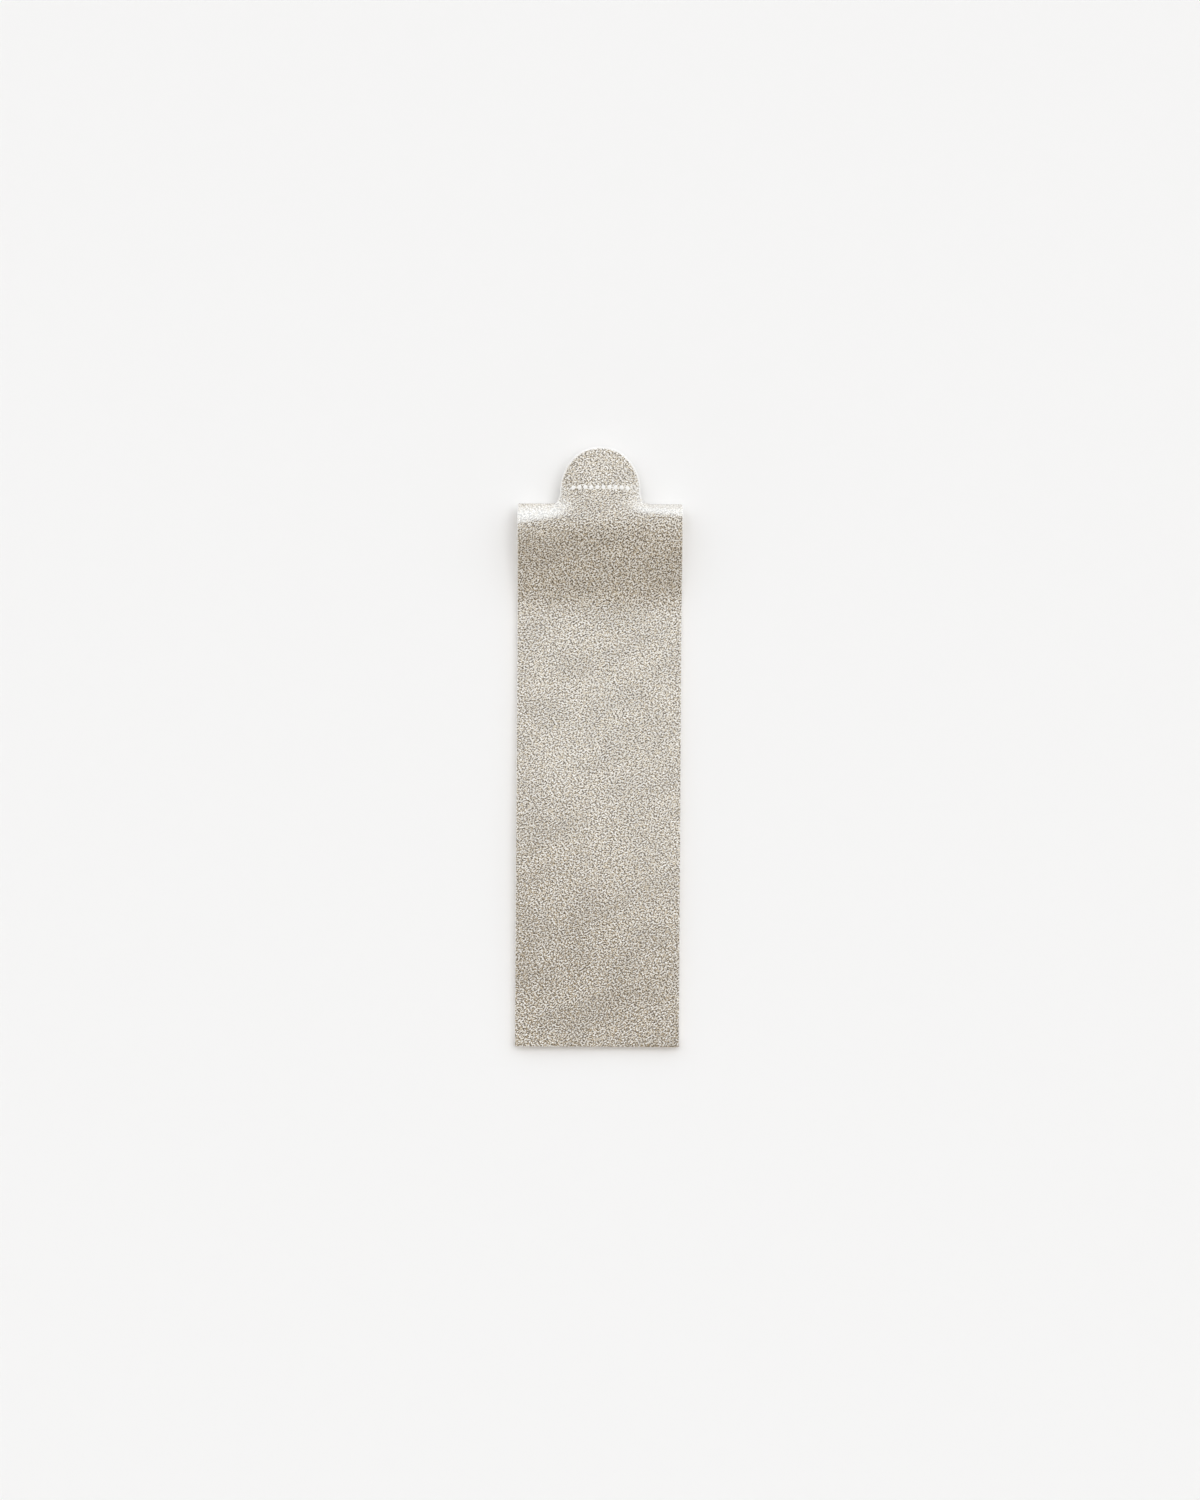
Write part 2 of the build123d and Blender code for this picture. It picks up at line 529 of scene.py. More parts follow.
@dataclass(frozen=True)
class StripMesher:
    """Turns patches of the flat strip into closed layers of leather and film."""

    shape: StripShape
    ease_width: float = 0.45  # how far from a cut the metal face is pressed down by the knife
    ease_depth: float = 0.1
    probe: float = 0.02  # step for reading the slope of the surface
    sharp: float = 0.7  # cosine under which two walls meet at a corner

    def normals(self, point_map: PointMap, nodes: np.ndarray) -> np.ndarray:
        """Find the directions straight out of the metal face.

        Args:
            point_map: Where the points of the strip lie.
            nodes: The u and s of each point.

        Returns:
            A unit vector for each point.
        """
        (u, s), step = nodes.T, self.probe
        along_u = point_map(u + step, s) - point_map(u - step, s)
        along_s = point_map(u, s + step) - point_map(u, s - step)
        out = np.cross(along_u, along_s)
        return out / np.linalg.norm(out, axis=1)[:, None]

    def eased_normals(
        self, points: np.ndarray, faces: np.ndarray, out: np.ndarray, edge: np.ndarray
    ) -> np.ndarray:
        """Turn the directions out of the outer face where the knife pressed it down.

        Args:
            points: All corners of the mesh.
            faces: Corners of each face of the outer face.
            out: The directions without the pressed edge.
            edge: Distance of each corner from the nearest cut.

        Returns:
            A unit vector for each corner of the outer face.
        """
        corners = points[faces]
        across = np.cross(corners[:, 2] - corners[:, 0], corners[:, 3] - corners[:, 1])
        total = np.zeros_like(out)
        for corner in range(4):
            np.add.at(total, faces[:, corner], across)
        total /= np.linalg.norm(total, axis=1)[:, None]
        return np.where((edge < self.ease_width)[:, None], total, out)

    def wall_normals(self, points: np.ndarray, walls: np.ndarray) -> np.ndarray:
        """Find smooth directions out of the cut edges, split where two edges meet at a corner.

        Args:
            points: All corners of the mesh.
            walls: Corners of each wall face, rim edge first.

        Returns:
            A unit vector for each corner of each wall face.
        """
        corners = points[walls]
        flat = np.cross(corners[:, 1] - corners[:, 0], corners[:, 2] - corners[:, 1])
        flat /= np.maximum(np.linalg.norm(flat, axis=1), TINY)[:, None]
        starts = {int(wall[0]): k for k, wall in enumerate(walls)}
        ends = {int(wall[1]): k for k, wall in enumerate(walls)}
        out = np.repeat(flat[:, None, :], 4, axis=1)
        for k, wall in enumerate(walls):
            for corner, neighbours in ((0, ends), (1, starts)):
                other = neighbours.get(int(wall[corner]))
                if other is not None and flat[k] @ flat[other] > self.sharp:
                    mean = flat[k] + flat[other]
                    out[k, [corner, 3 - corner]] = mean / np.linalg.norm(mean)
        return out

    def layer(
        self, name: str, patch: Patch, point_map: PointMap, depths: Span, edge: np.ndarray
    ) -> bpy.types.Object:
        """Make one closed layer of a stretch of the strip.

        Args:
            name: The piece's name.
            patch: The stretch of the flat strip.
            point_map: Where its points lie.
            depths: Depths of the layer's two faces below the metal face.
            edge: Distance of each corner from the nearest cut.

        Returns:
            The piece, with what its finish needs to know of each corner as attributes.
        """
        nodes, count = patch.nodes, len(patch.nodes)
        u, s = nodes.T
        face, out = point_map(u, s), self.normals(point_map, nodes)
        ease = self.ease_depth * (1 - np.clip(edge / self.ease_width, 0, 1)) ** 2
        drops = [depth + ease * (1 - depth / self.shape.sizes.thickness) for depth in depths]
        points = np.vstack([face - out * drop[:, None] for drop in drops])
        outer = np.array(patch.faces)
        inner = outer[:, ::-1] + count
        rim = np.array(sorted(patch.rim()))
        walls = np.column_stack([rim[:, 1], rim[:, 0], rim[:, 0] + count, rim[:, 1] + count])
        normals = [
            self.eased_normals(points, outer, out, edge)[outer],
            -out[inner - count],
            self.wall_normals(points, walls),
        ]
        labels = {
            "flat": np.column_stack([np.tile(nodes, (2, 1)), np.zeros(2 * count)]),
            "cut": np.tile(edge, 2),
            "wear": np.tile(self.shape.wear(u, s), 2),
            # the fold's polish, whose paleness is a painted highlight
            "burnish": np.tile(self.shape.burnish(u, s), 2),
        }
        mesh = smooth_mesh(name, points, np.vstack([outer, inner, walls]).tolist(), labels)
        mesh.normals_split_custom_set(np.vstack(normals).reshape(-1, 3).tolist())
        mesh.update()
        return add_object(name, mesh)


class ShaderGraph:
    """The node tree of a finish or of the sky."""

    def __init__(self, owner: bpy.types.Material | bpy.types.World) -> None:
        """Start from the nodes that a new material or world has."""
        owner.use_nodes = True
        self.tree = owner.node_tree

    def find(self, kind: str) -> bpy.types.Node:
        """Find the first node of a kind."""
        return next(node for node in self.tree.nodes if node.type == kind)

    def feed(self, node: bpy.types.Node, inputs: dict[str | int, object]) -> None:
        """Set inputs of a node to values, or link them to output sockets.

        Args:
            node: The node.
            inputs: A number, vector, colour or output socket for each input.
        """
        for key, value in inputs.items():
            socket = node.inputs[key]
            if isinstance(value, bpy.types.NodeSocket):
                self.tree.links.new(value, socket)
            else:
                socket.default_value = (*value, 1.0) if socket.type == "RGBA" else value

    def add(
        self, kind: str, inputs: dict[str | int, object] | None = None, **settings: object
    ) -> bpy.types.bpy_prop_collection:
        """Add a node.

        Args:
            kind: The node's type.
            inputs: Values or output sockets for its inputs.
            settings: Its properties.

        Returns:
            Its output sockets.
        """
        node = self.tree.nodes.new(kind)
        for setting, value in settings.items():
            setattr(node, setting, value)
        self.feed(node, inputs or {})
        return node.outputs

    def math(self, operation: str, *values: object) -> bpy.types.NodeSocket:
        """Work out a number from others."""
        return self.add("ShaderNodeMath", dict(enumerate(values)), operation=operation)[0]

    def vector(self, operation: str, *values: object) -> bpy.types.bpy_prop_collection:
        """Work out a vector or a number from vectors."""
        return self.add("ShaderNodeVectorMath", dict(enumerate(values)), operation=operation)

    def remap(self, value: object, span: Span, to: Span = WHOLE) -> bpy.types.NodeSocket:
        """Carry one span to another, smoothly and without going past its ends."""
        ends = dict(zip(("From Min", "From Max", "To Min", "To Max"), (*span, *to)))
        return self.add("ShaderNodeMapRange", {"Value": value, **ends}, interpolation_type="SMOOTHSTEP")[0]

    def mix(self, share: object, first: object, second: object) -> bpy.types.NodeSocket:
        """Mix two colours."""
        inputs = {MIX_SHARE: share, MIX_FIRST: first, MIX_SECOND: second}
        return self.add("ShaderNodeMix", inputs, data_type="RGBA")[MIX_RESULT]

    def bump(self, height: object, strength: object, relief: float) -> bpy.types.NodeSocket:
        """Turn the normal by a height pattern that is a relief deep, in millimetres."""
        inputs = {"Strength": strength, "Distance": relief * MM, "Height": height}
        return self.add("ShaderNodeBump", inputs)[0]

    def place(self) -> bpy.types.NodeSocket:
        """Read the place in the flat strip."""
        return self.add("ShaderNodeAttribute", attribute_name="flat")["Vector"]

    def number(self, label: str) -> bpy.types.NodeSocket:
        """Read a number that the mesh carries at each corner."""
        return self.add("ShaderNodeAttribute", attribute_name=label)["Fac"]


@dataclass(frozen=True)
class Pattern:
    """Smooth noise on the flat strip."""

    turn: float  # direction of the features' long axis, in degrees from u
    long: float  # length and width of a feature
    wide: float
    detail: float
    rough: float
    warp: float = 0.0

    def read(self, graph: ShaderGraph) -> bpy.types.NodeSocket:
        """Add the noise to a node tree.

        Args:
            graph: The node tree.

        Returns:
            The socket with the noise, which is about a half on average.
        """
        turn = {"Vector": graph.place(), "Angle": -math.radians(self.turn)}
        turned = graph.add("ShaderNodeVectorRotate", turn, rotation_type="Z_AXIS")[0]
        inputs = {
            "Vector": graph.vector("MULTIPLY", turned, (1 / self.long, 1 / self.wide, 1.0))["Vector"],
            "Scale": 1.0,
            "Detail": self.detail,
            "Roughness": self.rough,
            "Distortion": self.warp,
        }
        return graph.add("ShaderNodeTexNoise", inputs, noise_dimensions="2D")[0]


@dataclass(frozen=True)
class MetalFilm:
    """Champagne metal film, laid over a finely wrinkled grain."""

    name: str = "champagne_film"
    # The crest colour is near white because the grain's bright flecks are partly painted glints.
    crest: Color = (1.0, 0.98, 0.94)
    body: Color = (0.92, 0.79, 0.565)
    groove: Color = (0.13, 0.095, 0.055)
    deep: Color = (0.575, 0.425, 0.205)  # painted shade: what the film darkens to towards the free end, where the light falls off
    # Pale of the rubbed cut edges, and also of the painted highlight over the fold.
    rubbed_and_highlight: Color = (0.96, 0.95, 0.92)
    metallic: float = 0.6
    crest_metallic: float = 0.08
    roughness: float = 0.24
    coat: float = 1.0
    coat_ior: float = 3.2
    coat_roughness: float = 0.17
    grain: Pattern = Pattern(52.0, 0.42, 0.30, 0.6, 0.5, 0.3)  # the wrinkles
    relief: float = 0.18  # how deep they are
    flecks: Pattern = Pattern(30.0, 0.42, 0.32, 0.6, 0.5, 0.3)  # dark pits and bright crests, the crests partly painted glints
    pit_edge: Span = (0.40, 0.465)
    crest_edge: Span = (0.545, 0.585)
    clouds: Pattern = Pattern(25.0, 13.0, 7.5, 2.5, 0.55)  # where the film is thinner
    cloud_edge: Span = (0.36, 0.66)
    cloud_share: float = 0.17
    shade_lean: Color = (-0.6, -1.0, 0.0)  # the way in which the painted shade deepens, to the lower left
    shade_reach: Span = (60.0, 124.0)
    shade_share: float = 0.85
    burnish_share: float = 0.5  # how pale the fold's painted highlight is, and how smooth its polish leaves the grain
    burnish_grain: float = 0.45
    worn_width: float = 0.6  # how far from a handled cut the grain is pressed flat and rubbed pale
    worn_edge: Span = (0.3, 1.0)  # the share of that where the rubbing fades
    worn_grain: float = 0.1  # what is left of the grain at the cut

    def material(self) -> bpy.types.Material:
        """Build the finish.

        Returns:
            The material.
        """
        material = bpy.data.materials.new(self.name)
        graph = ShaderGraph(material)
        flecks = self.flecks.read(graph)
        # Painted shade: the film turns darker and warmer towards the free end and the left, where the
        # light falls off.
        lean = graph.vector("DOT_PRODUCT", graph.place(), self.shade_lean)["Value"]
        painted_shade = graph.remap(lean, self.shade_reach, (0.0, self.shade_share))
        body = graph.mix(painted_shade, self.body, self.deep)
        tone = graph.mix(graph.remap(flecks, self.pit_edge), self.groove, body)
        # The bright flecks, near white and barely metallic, are partly painted glints.
        fleck = graph.remap(flecks, self.crest_edge)
        tone = graph.mix(fleck, tone, self.crest)
        thin = graph.remap(self.clouds.read(graph), self.cloud_edge, (0.0, self.cloud_share))
        tone = graph.mix(thin, tone, self.groove)
        # Painted highlight: the fold is painted paler where it turns over, and its grain is pressed
        # smoother.
        burnish = graph.number("burnish")
        painted_highlight = graph.remap(burnish, WHOLE, (0.0, self.burnish_share))
        tone = graph.mix(painted_highlight, tone, self.rubbed_and_highlight)
        rubbing = graph.math("MULTIPLY", graph.number("wear"), self.worn_width)
        inside = graph.math("DIVIDE", graph.number("cut"), rubbing)
        worn = graph.remap(inside, self.worn_edge, (1.0, 0.0))
        tone = graph.mix(worn, tone, self.rubbed_and_highlight)
        pressed = graph.remap(burnish, WHOLE, (1.0, self.burnish_grain))
        strength = graph.remap(inside, WHOLE, (self.worn_grain, 1.0))
        strength = graph.math("MULTIPLY", strength, pressed)
        bump = graph.bump(self.grain.read(graph), strength, self.relief)
        gleam = graph.remap(fleck, WHOLE, (self.metallic, self.crest_metallic))
        inputs = {
            "Base Color": tone,
            "Metallic": graph.math("MULTIPLY", gleam, graph.math("SUBTRACT", 1.0, worn)),
            "Roughness": self.roughness,
            "Coat Weight": self.coat,
            "Coat IOR": self.coat_ior,
            "Coat Roughness": self.coat_roughness,
            "Coat Normal": bump,
            "Normal": bump,
        }
        graph.feed(graph.find("BSDF_PRINCIPLED"), inputs)
        return material


@dataclass(frozen=True)
class SuedeHide:
    """The undyed flesh side and the cut edges of the leather."""

    name: str = "undyed_hide"
    pale: Color = (0.80, 0.74, 0.64)
    deep: Color = (0.62, 0.54, 0.44)
    roughness: float = 0.92
    sheen: float = 0.25
    sheen_roughness: float = 0.6
    nap: float = 0.08  # how deep the fibres and tufts are
    fibres: Pattern = Pattern(74.0, 0.9, 0.16, 3.0, 0.6, 0.8)  # fine fibres that lie along the hide
    fibre_share: float = 0.45
    tufts: Pattern = Pattern(10.0, 0.75, 0.5, 2.0, 0.6, 0.5)
    tuft_share: float = 0.55
    nap_edge: Span = (0.38, 0.6)
    strokes: Pattern = Pattern(62.0, 4.5, 1.3, 3.0, 0.6, 0.6)  # where the nap was brushed
    stroke_edge: Span = (0.38, 0.66)
    stroke_share: float = 0.5
    clouds: Pattern = Pattern(30.0, 11.0, 8.0, 3.0, 0.55)
    cloud_edge: Span = (0.35, 0.7)
    cloud_share: float = 0.35

    def material(self) -> bpy.types.Material:
        """Build the finish.

        Returns:
            The material.
        """
        material = bpy.data.materials.new(self.name)
        graph = ShaderGraph(material)
        fibres = graph.math("MULTIPLY", self.fibres.read(graph), self.fibre_share)
        tufts = graph.math("MULTIPLY", self.tufts.read(graph), self.tuft_share)
        height = graph.math("ADD", fibres, tufts)
        tone = graph.mix(graph.remap(height, self.nap_edge), self.deep, self.pale)
        shades = (
            (self.strokes, self.stroke_edge, self.stroke_share),
            (self.clouds, self.cloud_edge, self.cloud_share),
        )
        for pattern, edge, share in shades:
            tone = graph.mix(graph.remap(pattern.read(graph), edge, (0.0, share)), tone, self.deep)
        inputs = {
            "Base Color": tone,
            "Roughness": self.roughness,
            "Sheen Weight": self.sheen,
            "Sheen Roughness": self.sheen_roughness,
            "Normal": graph.bump(height, 1.0, self.nap),
        }
        graph.feed(graph.find("BSDF_PRINCIPLED"), inputs)
        return material


@dataclass(frozen=True)
class PaleFoil:
    """Pale foil of the stamped dots."""

    name: str = "pale_foil"
    bright: Color = (0.97, 0.97, 0.95)
    dull: Color = (0.90, 0.89, 0.86)
    metallic: float = 0.05
    flecks: Pattern = Pattern(0.0, 0.3, 0.3, 2.0, 0.6)
    bright_edge: Span = (0.35, 0.6)
    rough_edge: Span = (0.3, 0.7)
    roughness: Span = (0.5, 0.35)  # of the dull and of the bright flecks

    def material(self) -> bpy.types.Material:
        """Build the finish.

        Returns:
            The material.
        """
        material = bpy.data.materials.new(self.name)
        graph = ShaderGraph(material)
        flecks = self.flecks.read(graph)
        inputs = {
            "Base Color": graph.mix(graph.remap(flecks, self.bright_edge), self.dull, self.bright),
            "Metallic": self.metallic,
            "Roughness": graph.remap(flecks, self.rough_edge, self.roughness),
        }
        graph.feed(graph.find("BSDF_PRINCIPLED"), inputs)
        return material


@dataclass(frozen=True)
class FloorPaper:
    """Plain pale paper under the bookmark, evenly pale where it sweeps up far behind it."""

    name: str = "floor_paper"
    color: Color = (0.93, 0.93, 0.93)
    roughness: float = 0.9
    specular: float = 0.1
    far_color: Color = (0.913, 0.913, 0.913)
    far_reach: Span = (0.5, 2.0)  # where the even paleness starts and is whole, in metres

    def material(self) -> bpy.types.Material:
        """Build the finish.

        Returns:
            The material.
        """
        material = bpy.data.materials.new(self.name)
        graph = ShaderGraph(material)
        near = graph.find("BSDF_PRINCIPLED")
        inputs = {
            "Base Color": self.color,
            "Roughness": self.roughness,
            "Specular IOR Level": self.specular,
        }
        graph.feed(near, inputs)
        distance = graph.vector("LENGTH", graph.add("ShaderNodeNewGeometry")["Position"])["Value"]
        ray = graph.add("ShaderNodeLightPath")
        seen = graph.math("MAXIMUM", ray["Is Camera Ray"], ray["Is Glossy Ray"])
        seen = graph.math("MAXIMUM", seen, ray["Is Transmission Ray"])
        far = graph.math("MULTIPLY", seen, graph.remap(distance, self.far_reach))
        pale = graph.add("ShaderNodeEmission", {"Color": self.far_color})[0]
        paper = graph.add("ShaderNodeMixShader", {0: far, 1: near.outputs[0], 2: pale})[0]
        graph.feed(graph.find("OUTPUT_MATERIAL"), {"Surface": paper})
        material.cycles.emission_sampling = "NONE"
        return material


@dataclass
class Workshop:
    """What every stretch of the strip is made with."""

    shape: StripShape
    mesher: StripMesher
    finishes: dict[Layer, bpy.types.Material]

    def layers(
        self, name: str, patch: Patch, point_map: PointMap, edge: np.ndarray, nodes: Sequence[str]
    ) -> dict[Layer, bpy.types.Object]:
        """Make and dress both layers of a stretch of the strip.

        Args:
            name: What the stretch is called.
            patch: The stretch of the flat strip.
            point_map: Where its points lie.
            edge: Distance of each corner from the nearest cut.
            nodes: The leather nodes that it stands for. Their films have the same names and an ending.

        Returns:
            The piece of each layer.
        """
        pieces = {}
        for layer in Layer:
            piece_ending, node_ending, slot = layer.value
            depths = self.shape.sizes.depths(layer)
            piece = self.mesher.layer(name + piece_ending, patch, point_map, depths, edge)
            piece.data.materials.append(self.finishes[layer])
            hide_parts(*[node + node_ending for node in nodes])
            pieces[layer] = piece
        return pieces


@dataclass
class FrontLeaf:
    """The leaf on top, down from the fold to its free end, with the root of the tab."""

    workshop: Workshop
    step: float = 1.0
    flat_step: float = 1.6  # between rows where the leaf lies flat
    runout_step: float = 0.7  # between rows of the run-out
    runout_margin: float = 6.0
    fine_step: float = 0.42  # between rows near the fold, and columns near the tab's sides
    fine_reach: float = 6.0
    rim_steps: tuple[float, ...] = (0.0, 0.1, 0.25, 0.5, 0.9, 1.5)  # from an edge inwards
    cut_steps: tuple[float, ...] = (0.0, 0.12, 0.3)  # from the cut outwards
    tab_steps: tuple[float, ...] = (0.5, 0.25, 0.1, 0.0)  # up to the tab's edge
    root_end: float = 4.75  # s where the part of the tab that bends begins

    def side_columns(self) -> list[float]:
        """Divide the strip from the cut to its long edge.

        Returns:
            Distances from the middle of the strip.
        """
        sizes, shape = self.workshop.shape.sizes, self.workshop.shape
        rim = [sizes.half_width - step for step in reversed(self.rim_steps)]
        near = [sizes.half_tab + step for step in self.cut_steps]
        merge = spread(near[-1], shape.merge_outer, self.fine_step)[1:]
        return near + merge + spread(merge[-1], rim[0], self.step)[1:-1] + rim

    def tab_columns(self) -> list[float]:
        """Divide the tab from its middle to the cut.

        Returns:
            Distances from the middle of the strip.
        """
        inner, half = self.workshop.shape.merge_inner, self.workshop.shape.sizes.half_tab
        rim = [half - step for step in self.tab_steps]
        return spread(0.0, inner, self.step) + spread(inner, rim[0], self.fine_step)[1:-1] + rim

    def build(self) -> dict[Layer, bpy.types.Object]:
        """Make the leaf's two layers.

        Returns:
            The piece of each layer.
        """
        shape, sizes = self.workshop.shape, self.workshop.shape.sizes
        tab = self.tab_columns()
        columns = mirrored(tab + self.side_columns()[1:])
        end = -shape.leaf_length()
        rows = [end + step for step in self.rim_steps]
        rows += spread(rows[-1], -sizes.runout_length - self.runout_margin, self.flat_step)[1:]
        rows += spread(rows[-1], -self.fine_reach, self.runout_step)[1:]
        rows += spread(rows[-1], 0.0, self.fine_step)[1:]
        leaf = Patch.from_rows([[(u, s) for u in columns] for s in rows])
        leaf.round_corners(sizes.half_width, end, 1, sizes.corner_radius)
        root_rows = spread(0.0, self.root_end, self.fine_step)
        root = Patch.from_rows([[(u, s) for u in mirrored(tab)] for s in root_rows])
        root.nodes[:, 0] = shape.flared(*root.nodes.T)
        patch = Patch.merged([leaf, root])
        u, s = np.abs(patch.nodes[:, 0]), patch.nodes[:, 1]
        to_cut = sizes.half_tab + shape.flare(s) - u + shape.before_cut(s)
        edge = np.minimum(sizes.half_width - u, s - end)
        edge = np.where(s > 0, np.minimum(edge, to_cut), edge)
        pieces = self.workshop.layers("front_leaf", patch, shape.front_map, edge, ["front_leaf"])
        for piece in pieces.values():
            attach(piece, "front")
        return pieces


@dataclass
class Tab:
    """The round tab, whose bend line at its root the frame gives."""

    workshop: Workshop
    front: FrontLeaf
    row_step: float = 0.5
    bend_reach: float = 2.45  # how far the bend spreads on each side of its line

    def bend(self) -> tuple[Vector, Vector]:
        """Find where the bend starts and ends.

        Returns:
            A point on each side of the line that the tab bends about.
        """
        place = next(joint["pos_m"] for joint in frame["joints"] if joint["name"] == "tab_flex")
        reach = Vector((0.0, self.bend_reach * MM, 0.0))
        return Vector(place) - reach, Vector(place) + reach

    def build(self) -> dict[Layer, bpy.types.Object]:
        """Make the tab's two layers.

        Returns:
            The piece of each layer.
        """
        shape, sizes = self.workshop.shape, self.workshop.shape.sizes
        columns = mirrored(self.front.tab_columns())
        radius, start = sizes.half_tab, sizes.arch_start
        rows = [[(u, s) for u in columns] for s in spread(self.front.root_end, start, self.row_step)]
        rim = [1 - step / radius for step in self.front.tab_steps]
        for rise in spread(0.0, rim[0], self.row_step / radius)[1:-1] + rim:
            narrow = math.sqrt(1 - rise**2 / 2)
            arch = [start + radius * rise * math.sqrt(1 - (u / radius) ** 2 / 2) for u in columns]
            rows.append([(u * narrow, s) for u, s in zip(columns, arch)])
        patch = Patch.from_rows(rows)
        patch.nodes[:, 0] = shape.flared(*patch.nodes.T)
        u, s = patch.nodes.T
        edge = radius + shape.flare(s) - np.hypot(u, np.maximum(s - start, 0))
        pieces = self.workshop.layers("tab", patch, shape.front_map, edge, ["tab"])
        for piece in pieces.values():
            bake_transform(piece)
        return pieces


@dataclass
class TabMark:
    """A plain row of dots stamped across the tab."""

    tab: Tab
    finish: PaleFoil
    dots: int = 10
    pitch: float = 1.46
    radius: float = 0.6
    place: float = 7.25  # s of the row
    height: float = 0.035
    sunk: float = 0.03
    crown: int = 4  # the higher, the flatter the dots are on top
    facets: int = 20
    rings: tuple[float, ...] = (0.45, 0.8, 1.0)

    def dot(self) -> tuple[np.ndarray, list[tuple[int, ...]]]:
        """Shape one dot.

        Returns:
            The u, s and height of its corners, measured from its middle, and its faces.
        """
        corners = [(0.0, 0.0, self.height)]
        for ring in self.rings:
            rise = self.height * (1 - ring**self.crown) - (self.sunk if ring == self.rings[-1] else 0)
            for k in range(self.facets):
                angle, reach = 2 * math.pi * k / self.facets, self.radius * ring
                corners.append((reach * math.cos(angle), reach * math.sin(angle), rise))
        last = len(corners) - self.facets
        faces = []
        for k in range(self.facets):
            after = (k + 1) % self.facets
            faces.append((0, 1 + k, 1 + after))
            for low in range(1, last, self.facets):
                high = low + self.facets
                faces.append((low + k, high + k, high + after, low + after))
        faces.append(tuple(last + k for k in reversed(range(self.facets))))
        return np.array(corners), faces

    def build(self) -> bpy.types.Object:
        """Make the row.

        Returns:
            The piece.
        """
        shape, mesher = self.tab.workshop.shape, self.tab.workshop.mesher
        corners, dot_faces = self.dot()
        points, flats, faces = [], [], []
        for number in range(self.dots):
            middle = (number - (self.dots - 1) / 2) * self.pitch
            spot = corners + (middle, self.place, 0.0)
            out = mesher.normals(shape.front_map, spot[:, :2])
            points.append(shape.front_map(spot[:, 0], spot[:, 1]) + out * spot[:, 2:])
            flats.append(spot * (1.0, 1.0, 0.0))
            base = number * len(corners)
            faces.extend(tuple(base + corner for corner in face) for face in dot_faces)
        mesh = smooth_mesh("tab_mark", np.vstack(points), faces, {"flat": np.vstack(flats)})
        mesh.materials.append(self.finish.material())
        piece = add_object("tab_mark", mesh)
        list(self.tab.bend())
        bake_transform(piece)
        return piece


@dataclass
class FoldRoll:
    """The roll of the fold on both sides of the tab, in three stretches."""

    workshop: Workshop
    front: FrontLeaf
    row_step: float = 0.26
    cut_reach: float = 3.0  # how far the slant of the cut edge carries into the roll
    top_span: Span = (-0.9, 0.5)  # where the stretch at the top bends, from its hinge line

    def rows_between(self, start: float, end: float) -> list[Patch]:
        """Divide a stretch of the roll.

        Args:
            start: Its s nearest to the front leaf.
            end: Its s nearest to the back leaf.

        Returns:
            One patch for each side of the tab.
        """
        shape, sizes = self.workshop.shape, self.workshop.shape.sizes
        columns = np.array(self.front.side_columns())
        fade = np.clip(1 - (columns - sizes.half_tab) / self.cut_reach, 0, 1)
        patches = []
        for side in Side:
            rows = []
            for s in spread(start, end, self.row_step):
                shift = shape.cut_edge(np.array([s]))[0] - sizes.half_tab
                places = sorted(side.value * (columns + shift * fade))
                rows.append([(float(u), s) for u in places])
            patches.append(Patch.from_rows(rows))
        return patches

    def bend(self, hinge: dict, span: Span) -> tuple[Vector, Vector]:
        """Find where a stretch starts and ends to bend about its hinge line.

        Args:
            hinge: The joint.
            span: Distances from the hinge line, along the roll from the back leaf to the front leaf.

        Returns:
            A point on each side of the hinge line.
        """
        sizes = self.workshop.shape.sizes
        place = Vector(hinge["pos_m"])
        centre = Vector((0.0, sizes.fold_y * MM, sizes.fold_radius * MM))
        outward = (place - centre).normalized()
        along = Vector((0.0, -outward.z, outward.y))
        return place + along * span[0] * MM, place + along * span[1] * MM

    def build(self) -> dict[str, dict[Layer, bpy.types.Object]]:
        """Make both layers of each stretch.

        Returns:
            The pieces of each stretch, by its name.
        """
        shape, sizes = self.workshop.shape, self.workshop.shape.sizes
        part = sizes.roll_length / sizes.hinge_count
        inner = (sizes.fold_radius - sizes.thickness) * math.sin(sizes.hinge_turn / 2)
        stretches = (
            ("fold_top", "fold_front", self.top_span, ["upper_roll"]),
            ("fold_outside", "fold_middle", (-inner, inner), ["lower_roll", "upper_roll"]),
            ("fold_underside", "fold_back", (-inner, inner), ["lower_roll"]),
        )
        made = {}
        for number, (name, joint, span, rolls) in enumerate(stretches):
            patch = Patch.merged(self.rows_between(number * part, (number + 1) * part))
            u, s = np.abs(patch.nodes[:, 0]), patch.nodes[:, 1]
            to_cut = u - shape.cut_edge(s) + shape.before_cut(s)
            edge = np.minimum(sizes.half_width - u, to_cut)
            nodes = [f"{side.name.lower()}_{roll}" for roll in rolls for side in Side]
            pieces = self.workshop.layers(name, patch, shape.back_map, edge, nodes)
            for piece in pieces.values():
                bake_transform(piece)
            made[name] = pieces
        return made


